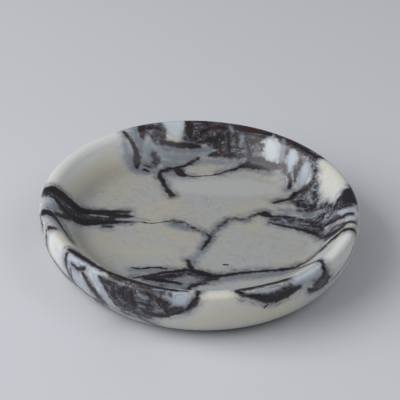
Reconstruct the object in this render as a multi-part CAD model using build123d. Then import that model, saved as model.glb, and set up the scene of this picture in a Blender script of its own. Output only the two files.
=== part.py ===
from build123d import *
from math import atan2, cos, degrees, radians, sin, tan
import os

# A round, turned stone ring dish that stands on four small self-adhesive rubber feet.
# Millimetres, +Z up. The origin is on the table, under the centre of the dish.

# Driving dimensions of the whole object.
outer_diameter = 130.0  # across the widest line of the wall
overall_height = 25.0  # from the table to the top of the rim

# The bowl: a flat floor, a cove and a straight slope that rolls softly over into the rim.
bowl_depth = 12.0
bowl_slope = 45.0  # degrees that the slope leans back from the floor
cove_radius = 8.0  # where the slope meets the floor
bowl_edge_radius = 4.9  # rounding between the top of the rim and the slope

# The outside: the rim rolls over a soft edge into a wall that bulges to its widest line and turns in below.
widest_drop = 5.2  # from the top of the rim down to the widest line
rim_setback = 0.9  # how far the rim's outer corner, before it is rounded, stands in from the widest line
rim_edge_radius = 2.2
rim_flat = 0.25  # the level strip along the top of the rim, between its two roundings
base_setback = 10.4  # how far the edge of the flat base stands in from the widest line
base_edge_radius = 1.5

# The rubber feet, and the adhesive film that holds each of them to the base.
foot_diameter = 9.5
foot_thickness = 1.3
foot_edge_radius = 0.4
film_diameter = 8.5
film_thickness = 0.2
foot_inset = 11.0  # from the edge of the flat base in to the middle of a foot
first_foot_angle = 45.0  # degrees from +X
foot_places = ["back_right", "back_left", "front_left", "front_right"]

# Heights and radii that follow from the sizes above.
base_height = foot_thickness + film_thickness
floor_height = overall_height - bowl_depth
widest_height = overall_height - widest_drop
outer_radius = outer_diameter / 2
rim_radius = outer_radius - rim_setback
wall_lean = 2 * degrees(atan2(rim_setback, widest_drop))
rim_top_radius = rim_radius - rim_edge_radius * tan(radians(90 - wall_lean) / 2) - rim_flat
slope_top_radius = rim_top_radius - bowl_edge_radius * sin(radians(bowl_slope))
slope_top_height = overall_height - bowl_edge_radius * (1 - cos(radians(bowl_slope)))
floor_radius = slope_top_radius - (slope_top_height - floor_height) / tan(radians(bowl_slope))
base_radius = outer_radius - base_setback
foot_circle_radius = base_radius - foot_inset


def round_corner(section, corner, radius):
    """The section with its corner nearest to a point rounded to a radius."""
    nearest = min(section.vertices(), key=lambda vertex: (Vector(vertex) - Vector(*corner)).length)
    return fillet(nearest, radius)


def make_dish():
    """The stone body: half of its section, turned about +Z."""
    underside_middle = (0, base_height)
    base_edge = (base_radius, base_height)
    widest_line = (outer_radius, widest_height)
    rim_edge = (rim_radius, overall_height)
    rim_top = (rim_top_radius, overall_height)
    slope_top = (slope_top_radius, slope_top_height)
    floor_edge = (floor_radius, floor_height)
    floor_middle = (0, floor_height)
    outline = [
        Line(underside_middle, base_edge),
        TangentArc(widest_line, base_edge, tangent=(0, -1)),
        TangentArc(widest_line, rim_edge, tangent=(0, 1)),
        Line(rim_edge, rim_top),
        TangentArc(rim_top, slope_top, tangent=(-1, 0)),
        Line(slope_top, floor_edge),
        Line(floor_edge, floor_middle),
        Line(floor_middle, underside_middle),
    ]
    section = make_face(outline)
    section = round_corner(section, base_edge, base_edge_radius)
    section = round_corner(section, rim_edge, rim_edge_radius)
    section = round_corner(section, floor_edge, cove_radius)
    return revolve(Plane.XZ * section, Axis.Z)


def make_foot():
    """One rubber foot with an eased lower edge, standing on the table at the origin."""
    upright = (Align.CENTER, Align.CENTER, Align.MIN)
    foot = Cylinder(foot_diameter / 2, foot_thickness, align=upright)
    return fillet(foot.edges().sort_by(Axis.Z).first, foot_edge_radius)


def make_film():
    """One disc of adhesive film, lying on top of a foot at the origin."""
    upright = (Align.CENTER, Align.CENTER, Align.MIN)
    return Pos(Z=foot_thickness) * Cylinder(film_diameter / 2, film_thickness, align=upright)


def foot_place(index):
    """Where one of the evenly spaced feet stands under the base."""
    angle = first_foot_angle + index * 360 / len(foot_places)
    return Rot(Z=angle) * Pos(X=foot_circle_radius) * Rot(Z=-angle)


if __name__ == "__main__":
    os.makedirs("parts", exist_ok=True)
    export_step(make_dish(), "parts/dish.step")
    for index, name in enumerate(foot_places):
        export_step(foot_place(index) * make_film(), f"parts/adhesive_film_{name}.step")
        export_step(foot_place(index) * make_foot(), f"parts/rubber_foot_{name}.step")
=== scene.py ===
"""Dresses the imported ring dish: satin-polished veined marble on four rubber feet, in plain studio light.

Lengths are metres where Blender holds them. The stone's pattern is laid out in millimetres, on the dish's own
axes: +X right, -Y towards the viewer, +Z up from the underside of its feet.
"""

import logging
import math
from dataclasses import dataclass
from enum import Enum
from functools import partial
from itertools import pairwise
from typing import Any

import bmesh
import bpy
from mathutils import Matrix, Vector


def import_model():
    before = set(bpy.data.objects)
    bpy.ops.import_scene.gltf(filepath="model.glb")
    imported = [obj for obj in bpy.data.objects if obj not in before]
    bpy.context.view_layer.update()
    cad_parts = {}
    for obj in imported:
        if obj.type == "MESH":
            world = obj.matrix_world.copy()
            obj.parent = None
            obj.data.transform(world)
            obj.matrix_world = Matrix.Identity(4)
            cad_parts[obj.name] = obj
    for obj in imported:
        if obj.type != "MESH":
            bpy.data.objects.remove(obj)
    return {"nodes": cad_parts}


Socket = bpy.types.NodeSocket
Tree = bpy.types.NodeTree

LOG = logging.getLogger("ring_dish")
MM = 0.001
WHITE = "FFFFFF"


def linear(code: str) -> tuple[float, float, float, float]:
    """Turn an sRGB hex colour into the linear colour that a socket takes.

    Args:
        code: Six hex digits, such as "B9B7A9".

    Returns:
        Red, green, blue and an alpha of 1.
    """
    shares = [int(code[i : i + 2], 16) / 255 for i in (0, 2, 4)]
    red, green, blue = [s / 12.92 if s <= 0.04045 else ((s + 0.055) / 1.055) ** 2.4 for s in shares]
    return red, green, blue, 1.0


class Node(Enum):
    """A kind of node: its type, its settings, its inputs in the order of what it is given, and its output."""

    ADD = "ShaderNodeMath", {"operation": "ADD"}, (0, 1), 0
    SUBTRACT = "ShaderNodeMath", {"operation": "SUBTRACT"}, (0, 1), 0
    MULTIPLY = "ShaderNodeMath", {"operation": "MULTIPLY"}, (0, 1), 0
    MULTIPLY_ADD = "ShaderNodeMath", {"operation": "MULTIPLY_ADD"}, (0, 1, 2), 0
    MINIMUM = "ShaderNodeMath", {"operation": "MINIMUM"}, (0, 1), 0
    MAXIMUM = "ShaderNodeMath", {"operation": "MAXIMUM"}, (0, 1), 0
    ABSOLUTE = "ShaderNodeMath", {"operation": "ABSOLUTE"}, (0,), 0
    CLAMP = "ShaderNodeClamp", {}, (0,), 0
    SMOOTH_RAMP = "ShaderNodeMapRange", {"interpolation_type": "SMOOTHSTEP"}, (0, 1, 2, 3, 4), 0
    VECTOR_ADD = "ShaderNodeVectorMath", {"operation": "ADD"}, (0, 1), "Vector"
    VECTOR_SUBTRACT = "ShaderNodeVectorMath", {"operation": "SUBTRACT"}, (0, 1), "Vector"
    VECTOR_MULTIPLY = "ShaderNodeVectorMath", {"operation": "MULTIPLY"}, (0, 1), "Vector"
    VECTOR_MULTIPLY_ADD = "ShaderNodeVectorMath", {"operation": "MULTIPLY_ADD"}, (0, 1, 2), "Vector"
    VECTOR_SCALE = "ShaderNodeVectorMath", {"operation": "SCALE"}, (0, "Scale"), "Vector"
    DOT = "ShaderNodeVectorMath", {"operation": "DOT_PRODUCT"}, (0, 1), "Value"
    DISTANCE = "ShaderNodeVectorMath", {"operation": "DISTANCE"}, (0, 1), "Value"
    LENGTH = "ShaderNodeVectorMath", {"operation": "LENGTH"}, (0,), "Value"
    HEIGHT = "ShaderNodeSeparateXYZ", {}, (0,), "Z"
    OBJECT_POINT = "ShaderNodeTexCoord", {}, (), "Object"
    NOISE = "ShaderNodeTexNoise", {}, ("Vector", "Scale", "Detail", "Distortion"), "Fac"
    NOISE_COLOUR = "ShaderNodeTexNoise", {}, ("Vector", "Scale", "Detail", "Distortion"), "Color"
    CELLS = "ShaderNodeTexVoronoi", {"feature": "F1"}, ("Vector", "Scale"), "Color"
    RED = "ShaderNodeSeparateColor", {}, (0,), "Red"
    COLOUR_RAMP = "ShaderNodeValToRGB", {}, (0,), "Color"
    MIX = "ShaderNodeMix", {"data_type": "RGBA"}, (0, 6, 7), 2
    BUMP = "ShaderNodeBump", {}, ("Height", "Distance"), 0
    PRINCIPLED = (
        "ShaderNodeBsdfPrincipled",
        {},
        ("Base Color", "Roughness", "IOR", "Specular IOR Level", "Normal"),
        0,
    )
    BACKGROUND = "ShaderNodeBackground", {}, ("Color", "Strength"), 0
    SURFACE = "ShaderNodeOutputMaterial", {}, ("Surface",), 0
    WORLD = "ShaderNodeOutputWorld", {}, ("Surface",), 0
    GROUP = "ShaderNodeGroup", {}, (0, 1, 2, 3, 4, 5), 0
    GROUP_INPUT = "NodeGroupInput", {}, (), 0
    GROUP_OUTPUT = "NodeGroupOutput", {}, (0,), 0


def add_node(tree: Tree, node: Node, *given: Any, **settings: Any) -> Socket | None:
    """Add a node to a tree, set it up and link what feeds it.

    Args:
        tree: The node tree to add to.
        node: The kind of node.
        given: For each of its inputs, in their order, a value or the socket that feeds it.
        settings: Further properties of the node itself.

    Returns:
        The node's output, or None where it has none.
    """
    kind, always, inputs, output = node.value
    added = tree.nodes.new(kind)
    for name, value in (always | settings).items():
        setattr(added, name, value)
    for key, value in zip(inputs, given):
        if isinstance(value, Socket):
            tree.links.new(value, added.inputs[key])
        else:
            added.inputs[key].default_value = value
    return added.outputs[output] if len(added.outputs) else None


def new_material(name: str) -> tuple[bpy.types.Material, Tree]:
    """Start an empty node material.

    Args:
        name: The material's name.

    Returns:
        The material and its node tree.
    """
    material = bpy.data.materials.new(name)
    material.use_nodes = True
    material.node_tree.nodes.clear()
    return material, material.node_tree


def new_distance_group(
    name: str, vectors: tuple[str, ...], numbers: tuple[str, ...] = ()
) -> tuple[Tree, bpy.types.NodeOutputs]:
    """Start a node group that gives a distance.

    Args:
        name: The group's name.
        vectors: The names of its inputs that are vectors.
        numbers: The names of its inputs that are numbers.

    Returns:
        The group, and what it is given, by name.
    """
    tree = bpy.data.node_groups.new(name, "ShaderNodeTree")
    for kind, names in (("NodeSocketVector", vectors), ("NodeSocketFloat", numbers)):
        for each in names:
            tree.interface.new_socket(each, in_out="INPUT", socket_type=kind)
    tree.interface.new_socket("Distance", in_out="OUTPUT", socket_type="NodeSocketFloat")
    return tree, add_node(tree, Node.GROUP_INPUT).node.outputs


def dress(piece: bpy.types.Object, material: bpy.types.Material) -> None:
    """Give a piece one material in place of what it came with."""
    piece.data.materials.clear()
    piece.data.materials.append(material)


class Side(Enum):
    """The side of the dish on which a part of the pattern is laid out."""

    TOP = "x and y on the floor, slope or rim"
    WALL = "angle from +X in degrees and height, on the outer wall"
    BASE = "x and y on the underside"


class Stone(Enum):
    """What a trace shows in the stone, in the order in which the kinds lie over the body."""

    WARM = "cream calcite, faintly tinted by iron"
    PALE = "white calcite, soft at its edges"
    HAZE = "translucent blue-grey calcite"
    BRECCIA = "crushed zone of dark matrix and grey chips"
    MATRIX = "crushed zone that is nearly all dark matrix"
    CLOUDED = "dim blue-grey fragment inside a crushed zone"
    SHARD = "pale blue fragment inside a crushed zone"
    VEIN = "near-black purple vein"
    RUST = "red-brown iron stain on a vein"
    CHIP = "clean white fragment"
    THREAD = "hairline crack filled with dark mineral"


@dataclass(frozen=True)
class Look:
    """How a kind of stone looks, and how its edge fades and frays, in millimetres.

    The crushed kinds have no colours here, because theirs come from the crushed stone's own greys.
    """

    edge: str
    middle: str
    soft: float  # the width over which the edge fades
    fray: float  # how far noise moves the edge
    grow: float  # how far the whole edge is moved out
    depth: float  # how far inside the edge the middle's colour is reached
    cover: float = 1.0


LOOKS = {
    Stone.WARM: Look("CECABC", "D1CCBA", soft=9.0, fray=6.0, grow=0.0, depth=4.0, cover=0.8),
    Stone.PALE: Look("CACCCB", "D3D5D4", soft=4.5, fray=4.0, grow=0.5, depth=3.0, cover=0.9),
    Stone.HAZE: Look("9CA2AA", "858D98", soft=3.4, fray=2.6, grow=0.5, depth=2.4, cover=0.85),
    Stone.BRECCIA: Look("", "", soft=2.2, fray=2.2, grow=0.5, depth=1.0),
    Stone.MATRIX: Look("", "", soft=2.0, fray=1.8, grow=0.5, depth=1.0),
    Stone.CLOUDED: Look("5C616B", "7A828D", soft=1.6, fray=1.6, grow=0.1, depth=1.2, cover=0.85),
    Stone.SHARD: Look("828B99", "A5B0BE", soft=1.6, fray=1.6, grow=0.2, depth=1.3, cover=0.92),
    Stone.VEIN: Look("565056", "1F1B1F", soft=1.6, fray=1.1, grow=0.3, depth=0.6),
    Stone.RUST: Look("422C2D", "442624", soft=1.8, fray=1.4, grow=0.2, depth=0.8, cover=0.7),
    Stone.CHIP: Look("9CA4AA", "B7BEC3", soft=1.2, fray=1.0, grow=0.2, depth=1.4),
    Stone.THREAD: Look("5B5257", "2C262B", soft=0.6, fray=0.5, grow=0.05, depth=0.3),
}

# A line followed along a vein, zone or fragment. Each of its points holds the two places that its side
# names and the half width there, in millimetres.
Trace = tuple[tuple[float, float, float], ...]
Traces = dict[Stone, tuple[Trace, ...]]


@dataclass(frozen=True)
class Region:
    """A part of the pattern on one side of the dish, with its traces by kind of stone."""

    side: Side
    traces: Traces


# The back of the bowl and its rim.
BACK: Traces = {
    # The warm trace here and the first pale trace below, on the back-left slope, are partly painted light
    # that lightens the slope.
    Stone.WARM: (((-52, 19, 5), (-46, 28, 5), (-39, 36, 5)),),
    Stone.PALE: (
        ((-59, 14, 5), (-53, 28, 6), (-45, 40, 5), (-38, 48, 3)),
        ((-8, 27, 4), (4, 28, 6), (18, 29, 7), (30, 29, 4)),
    ),
    Stone.HAZE: (
        # The haze traces near x -27 to -20, y 42 to 52, are partly painted reflection.
        ((-27.2, 51, 1.6), (-25.6, 47.5, 2.2), (-23.4, 49.5, 2.4), (-22.6, 45.5, 2.4)),
        ((-31.4, 54, 1), (-30.2, 51.6, 1.6), (-28.6, 49, 1.6), (-26.4, 45.6, 1.4)),
        ((-33.4, 46.4, 1.2), (-32, 42.5, 2.2), (-29.5, 39, 2.2), (-24, 37.4, 1.6)),
        ((-25, 43, 2.2), (-21.5, 42, 2.6), (-19.5, 46.5, 2)),
        ((-15, 37.4, 1.2), (-12.4, 36.4, 1.2)),
        ((-18, 49.4, 2.4), (-12, 48.6, 2.8), (-6, 49.6, 2.2), (-2, 51, 1.6), (3, 51.8, 1.4)),
        ((-16, 44.8, 1.8), (-11, 45.5, 1.6)),
        ((-21.4, 39.2, 1.4), (-19.2, 37.4, 1.1)),
        ((35, 50, 1.6), (34.8, 46, 1.6), (34.4, 42, 1.8)),
        ((-3, 47.2, 1.4), (4, 47.8, 1.6), (10, 47.4, 1.8), (16, 47.4, 1.2)),
        ((27, 40, 1.2), (32, 38.6, 1)),
    ),
    Stone.BRECCIA: (
        ((-27, 54.5, 1.6), (-21.5, 55, 2.4), (-19.6, 52, 1.6)),
        ((-19, 58, 1), (-17.6, 55.5, 1.2)),
        ((-21, 47.4, 1.1), (-20, 45.6, 1.2), (-20.6, 43.6, 1)),
        ((-17, 39.4, 1), (-14, 40.6, 1.6), (-10, 41.2, 1.6)),
        ((36.4, 45.4, 1), (36, 42.6, 0.8)),
        ((34.8, 40.6, 1.2), (36, 38, 1.4), (37.4, 35.6, 1.2)),
        ((43, 43.6, 1.4), (43.2, 40.4, 2), (42, 37, 1.4), (40.2, 34, 1)),
        ((47, 38.5, 1.3), (47.8, 34.5, 1.1), (48, 30, 0.9), (47.8, 22, 1)),
    ),
    Stone.MATRIX: (
        ((-31.6, 56.2, 0.9), (-27, 58.8, 1.8), (-23.6, 60, 2), (-21.2, 60.8, 1.4)),
        ((-22.5, 57, 1.6), (-20, 55, 1.8), (-18, 53.6, 1.6)),
        ((-6.5, 61.5, 1.6), (-5.5, 58, 2.6), (2, 58, 4.2), (8, 57.5, 4), (12, 57, 3)),
        ((-7, 55.2, 1.4), (-3, 55.2, 2), (2, 55.4, 1.8), (6, 53.8, 2.4), (12, 53.4, 2.4)),
        ((10, 55, 2.5), (16, 54.5, 3), (22, 53.5, 3), (25.5, 53.2, 1.6)),
        ((3.6, 50.5, 0.5), (5, 50.6, 1), (8, 50.6, 1.4), (12, 50.2, 1.6), (17, 49.2, 1.6)),
        ((15, 51.5, 2.4), (19, 50.4, 3.2), (23, 50, 3.2), (25.8, 49.6, 1.6)),
        ((16, 57.4, 1.2), (20, 56.4, 1.6), (25, 54.8, 1.6)),
        ((2, 61.5, 2.5), (12, 60.5, 2.5), (22, 58.4, 3), (28, 55.8, 2.5)),
        ((-6.6, 63, 2.2), (-2, 63.4, 2.2)),
        ((31.4, 55.2, 1), (33.6, 53, 1.5), (34.6, 51, 1.1)),
        ((34.5, 51.8, 1.4), (40, 47.6, 1.4), (44.5, 43.2, 1.4), (48, 39.4, 1)),
        ((32.6, 53.2, 1), (34, 51.2, 1.3), (34.6, 49.4, 0.8)),
        ((35.8, 48.8, 1), (37.4, 47.2, 1.7), (39.6, 45.8, 1.6), (41.6, 44.2, 1)),
        ((45, 41.6, 0.9), (46.8, 38.8, 1.5), (47.8, 36, 1.2)),
        ((17.5, 45.4, 0.7), (19.5, 45.4, 1.2), (22, 45.6, 2), (25.6, 44.2, 2), (29.5, 42, 1.4)),
        ((29.5, 41.7, 1.3), (33, 40.6, 0.9), (36, 39.2, 0.6)),
    ),
    Stone.CLOUDED: (
        ((-27.2, 50.2, 0.9), (-27, 48.4, 0.9), (-26.6, 46.6, 0.7)),
        ((-29.4, 53.6, 0.7), (-29, 51.2, 0.8), (-28, 48.8, 0.7)),
        ((-17, 50.6, 1), (-12, 51, 0.9), (-6, 51.6, 0.8), (-2, 51.8, 0.5)),
        ((-0.6, 52.2, 0.9), (2.6, 52.4, 1.2)),
        ((11.6, 59.3, 1), (12.8, 57.6, 0.9)),
        ((17, 55.2, 1.2), (17, 53.8, 1.4), (16.6, 52.4, 0.9)),
        ((22.6, 48.6, 0.8), (24.6, 47.6, 1)),
        ((35, 49.6, 1.2), (34.9, 46, 1), (34.6, 42.6, 1)),
    ),
    Stone.SHARD: (
        ((1.5, 63.9, 0.8), (8, 63.4, 0.9), (15, 62, 0.8)),
        # These two pale blue fragments on the back-right slope are partly painted sheen.
        ((38.9, 43.2, 1.3), (38.9, 41.6, 2.1), (38.4, 39.6, 1.9), (37.8, 37.4, 1.1)),
        ((44.2, 35.4, 1.2), (44, 33, 2), (43.4, 30.6, 2.2), (42.4, 28.8, 1.3)),
    ),
    Stone.VEIN: (
        ((-27, 55.4, 1.5), (-26.8, 53.4, 1.5), (-26.4, 51.4, 0.9)),
        ((-17.6, 52, 1.2), (-14.6, 52.3, 1.1), (-11, 52.4, 1), (-8, 53, 1.3), (-1.4, 53, 0.9)),
        ((-34.4, 50.7, 0.4), (-32.8, 49.3, 0.8), (-30.8, 48.1, 0.9), (-28.9, 46.2, 1), (-28.2, 44.4, 1.6),
         (-27.9, 42.2, 1.6), (-28, 40.2, 0.9)),
        ((-24.6, 42.2, 0.5), (-22, 41.4, 0.5)),
        ((-24.4, 39.4, 0.8), (-22.8, 38.5, 0.5)),
        ((-17, 39.6, 0.8), (-14, 41.2, 0.8), (-11, 42.2, 0.9), (-8, 44, 0.8), (-4.8, 46.4, 0.7)),
        ((-4.8, 46.9, 0.6), (-3, 48.4, 0.6), (-1.2, 49.4, 0.4)),
        ((-10.5, 41.2, 1.2), (-9.5, 39, 1.9), (-8.5, 37, 1.5), (-6, 36.3, 0.5), (-4, 36, 0.3)),
        ((-17, 39.5, 0.9), (-18.2, 37.4, 0.7), (-17.8, 34.8, 0.8), (-16.7, 32, 1.1), (-15.7, 29.2, 0.9),
         (-14.6, 26, 0.7), (-13.6, 23.5, 1.1), (-12.2, 20.8, 1.2)),
        ((-6.4, 62.5, 1.4), (-6, 58.5, 1.6), (-5.6, 56, 1.1)),
        ((-3, 62.8, 1.2), (1.5, 62, 0.7)),
        ((-1, 57.4, 0.9), (2.5, 58.8, 0.9), (7, 59.3, 1.1), (10, 58.5, 1)),
        ((11, 57.5, 0.7), (11.4, 55, 1), (11.8, 51.5, 0.8)),
        ((14.8, 58.8, 1.3), (18, 58.2, 1.8), (22, 57.2, 1.8), (25.5, 56, 1.6), (29, 54.4, 1)),
        ((21, 61, 0.9), (28, 57.9, 1), (36, 53.2, 1.1), (42, 48.6, 1), (46, 44.8, 0.7)),
        ((19, 53, 0.6), (20.4, 50.4, 0.8), (20.6, 48.4, 0.6)),
        ((39.8, 37.4, 0.5), (40.1, 34.6, 0.8), (39.8, 31.8, 0.6)),
        ((36.8, 49.6, 0.9), (39.5, 47.2, 1), (42, 44.8, 0.8), (44.5, 42.3, 1), (46.5, 39.8, 0.8),
         (48.5, 37.6, 0.9), (51.5, 36.6, 0.8)),
        ((37.4, 35.4, 0.6), (38.2, 32.6, 0.9), (37.9, 29.4, 0.8)),
        ((8, 39.6, 0.25), (11, 41.4, 0.45), (14, 43, 0.6), (17, 44.6, 0.7), (20.5, 46, 1)),
        ((20.4, 47.2, 0.9), (23, 46.6, 1.2), (26.4, 45.2, 1.3), (30, 42.4, 0.8), (33.5, 41, 0.5)),
        ((18.6, 44.8, 0.5), (22, 44.2, 1), (25.6, 43, 1.1), (29, 41.8, 0.9), (32, 40.8, 0.5)),
    ),
    Stone.RUST: (
        ((-26.8, 54.6, 0.9), (-26.6, 53, 0.8)),
        ((-28.3, 43.8, 0.9), (-28, 42.2, 0.8)),
        ((-11.5, 41, 0.7), (-8.5, 38.5, 0.9)),
        ((-13.6, 23.4, 0.9), (-12, 20.6, 1)),
        ((-6.4, 61.5, 0.8), (-5.6, 60.5, 0.7)),
        ((4.2, 59, 0.9), (6.3, 58.5, 0.9)),
        ((8, 52, 0.8), (9.5, 51, 0.8)),
        ((14.5, 59.3, 0.9), (20, 58.8, 1.1), (26, 56, 0.9)),
        ((37.3, 48.8, 0.6), (38.6, 47.8, 0.6)),
        ((42.4, 42, 0.7), (42.2, 39.4, 0.7)),
        ((35.4, 40.2, 0.6), (36, 37.6, 0.7)),
    ),
    Stone.CHIP: (
        ((-13.4, 64.5, 5.2), (-13.4, 61.5, 4.8), (-12.6, 58.2, 3.7), (-12, 56.5, 2.4)),
        # A white fragment, brightened partly by painted sheen.
        ((29.3, 50.2, 2.1), (29.6, 48, 3), (29.9, 46, 2.8)),
    ),
    Stone.THREAD: (((-4, 36, 0.35), (1, 36.6, 0.3), (5, 37.8, 0.4), (8, 39.2, 0.5)),),
}

# The right of the bowl and its rim.
RIGHT: Traces = {
    Stone.HAZE: (
        ((62.4, -0.4, 0.8), (64, -0.8, 1)),
        ((48.8, 9.8, 1.6), (50.8, 8.6, 1.6)),
        ((33, 13.2, 1), (38, 13.2, 1.2), (36, 11.3, 0.9)),
        ((44, -23, 0.6), (47, -20.6, 0.8), (49, -17.5, 0.8)),
    ),
    Stone.BRECCIA: (
        ((40.6, 25.8, 0.9), (44, 25.8, 1.2), (46.6, 26, 1.2)),
        ((40.4, 23.6, 1.8), (44, 22.6, 2.4), (47, 21, 2), (47.8, 17, 1.8)),
        ((38.8, 20, 1), (42, 19, 2.6), (45, 17, 2.6), (47.4, 14.4, 2.2)),
        ((42, 13.4, 1.2), (46.6, 13.6, 1), (50.4, 11.6, 0.9), (53.5, 8, 1.6)),
        ((45, 6.4, 1.4), (50, 5.6, 2), (54, 3.2, 2.6), (56.6, 4.6, 2.4)),
        ((50, 1.4, 2.4), (54, 0, 2), (56, -1.6, 1.2)),
        ((57.5, -5.2, 0.9), (60.5, -6, 0.9)),
        ((51.5, -9, 1.2), (54.5, -8.4, 1.4), (57.5, -9.8, 1.2)),
        ((31, 6, 1.4), (37, 5.2, 2), (43, 4.6, 2.6), (48, 3, 2.8)),
        ((40, 0.8, 1.4), (45, 0, 2.2), (49, -2, 1.8), (50, -8, 1.4), (52, -12, 1.2)),
    ),
    Stone.MATRIX: (
        ((60, 10, 1.8), (57.2, 7.6, 1.8), (56.8, 4.4, 1.6), (60.4, 2, 1.9), (62, 9, 2)),
        ((51.4, -13.4, 1), (54.4, -12.8, 1.3), (57.4, -12.8, 0.8)),
    ),
    Stone.CLOUDED: (
        ((50.6, -5.8, 0.9), (52.4, -5.6, 1.2), (54.6, -4.8, 0.9)),
        ((43.6, 9.8, 1.1), (46.2, 10.3, 1.3)),
    ),
    Stone.SHARD: (
        ((56.6, 0.8, 0.9), (58.2, -0.8, 1.2), (60, -2, 0.9)),
        ((60, -1.6, 0.6), (64.3, -2.2, 0.9)),
        ((56.5, -6.8, 0.7), (59, -7.8, 1), (61.5, -8, 1.2), (63.8, -8, 1.2)),
        ((39.5, 3.9, 0.3), (45, 3.6, 0.3)),
    ),
    Stone.VEIN: (
        ((31, 18.4, 0.5), (33, 19.6, 0.7), (35.2, 20.7, 0.8), (37.6, 21.6, 0.9), (39, 23.4, 1),
         (40, 25.4, 0.9), (42, 26, 0.7), (45, 24.9, 0.5)),
        ((43.5, 17.8, 0.6), (44, 15.8, 0.8)),
        ((40.8, 19.5, 0.5), (41.3, 16.5, 0.7)),
        ((62.6, 15.3, 0.6), (61.5, 11.5, 1.6), (62, 7, 2.4), (63, 3.6, 1.4)),
        ((60.3, 12.4, 0.8), (58.8, 8.5, 1.2), (59.5, 5, 1.6), (62, 4.4, 1.8)),
        ((57.8, 9.4, 0.5), (55, 6.2, 0.6)),
        ((51, -1.4, 0.8), (53.6, -2.2, 1.1), (56, -3, 1.2), (58.2, -4.4, 1.1), (61.4, -4.6, 0.7)),
        ((50.6, -9.8, 1), (53, -11.8, 1.4), (56, -12, 1.1), (59, -10.8, 0.8), (61.8, -11, 0.6)),
        ((60, -15.9, 1), (61.8, -16.8, 0.7)),
        ((52.3, 11.8, 0.4), (52.5, 11, 0.4)),
        ((29, 8.4, 0.4), (33, 8.2, 0.6), (37, 8, 0.7), (39.5, 8, 0.4)),
        ((28.7, 3.6, 0.3), (31, 2.8, 0.6), (35, 1.6, 0.7), (38, 0.6, 0.7), (41.5, -0.6, 0.8),
         (44.5, -1.8, 1), (47, -3.4, 1), (48.6, -5.6, 0.8)),
        ((47, 2, 0.6), (49.5, 0, 0.8), (50.5, -3, 0.6)),
        ((40.5, -26.4, 0.7), (43.3, -25.2, 0.8), (46.6, -22.8, 0.8), (49.2, -20.8, 0.9), (50.8, -19, 0.9),
         (53.2, -17.8, 1.1), (55.6, -16.6, 1.2), (57.8, -15.8, 1.2), (60, -16, 1)),
    ),
    Stone.RUST: (((53.6, -2.2, 0.7), (57, -3.6, 0.7)),),
    Stone.CHIP: (
        ((45.5, 20.8, 0.3), (46, 20, 0.35)),
        ((46.2, 18.4, 0.3), (46.5, 17.2, 0.3)),
    ),
    Stone.THREAD: (((59.5, -10.4, 0.35), (63.2, -11.6, 0.45)),),
}

# The middle of the floor, where earrings lay. Some of its haze and veins are partly painted shadow of the
# earrings.
MIDDLE: Traces = {
    Stone.HAZE: (
        # Partly painted shadow between the earrings.
        ((2.5, -6, 1.4), (4.6, -10, 2), (2.4, -15, 1.6)),
        ((-11, -1, 2), (-5, -3.5, 1.5)),
        ((2, -18.5, 1.6), (0, -22, 1.4), (-3, -25, 1.2)),
    ),
    Stone.BRECCIA: (
        ((-12, 1.6, 0.3), (-8, 1, 0.8), (-4.5, -1.2, 0.7), (-1, -3.8, 0.5), (2.5, -5.8, 0.4)),
        ((5, -7.5, 0.4), (8, -2, 0.3), (11, 3.5, 0.5), (15, 5.3, 0.7), (19, 5.2, 0.4), (23, 8.5, 0.5)),
    ),
    Stone.VEIN: (
        # Partly vein, partly painted shadow of the right earring.
        ((24.6, 9.6, 1), (27, 9.6, 2), (29, 8, 1)),
        # Partly vein, partly painted shadow between the earrings.
        ((3.2, -6.5, 0.3), (4.6, -8.5, 0.7), (3.8, -12, 0.7), (2.6, -15, 0.6), (1.6, -17.5, 0.3)),
    ),
}

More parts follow.
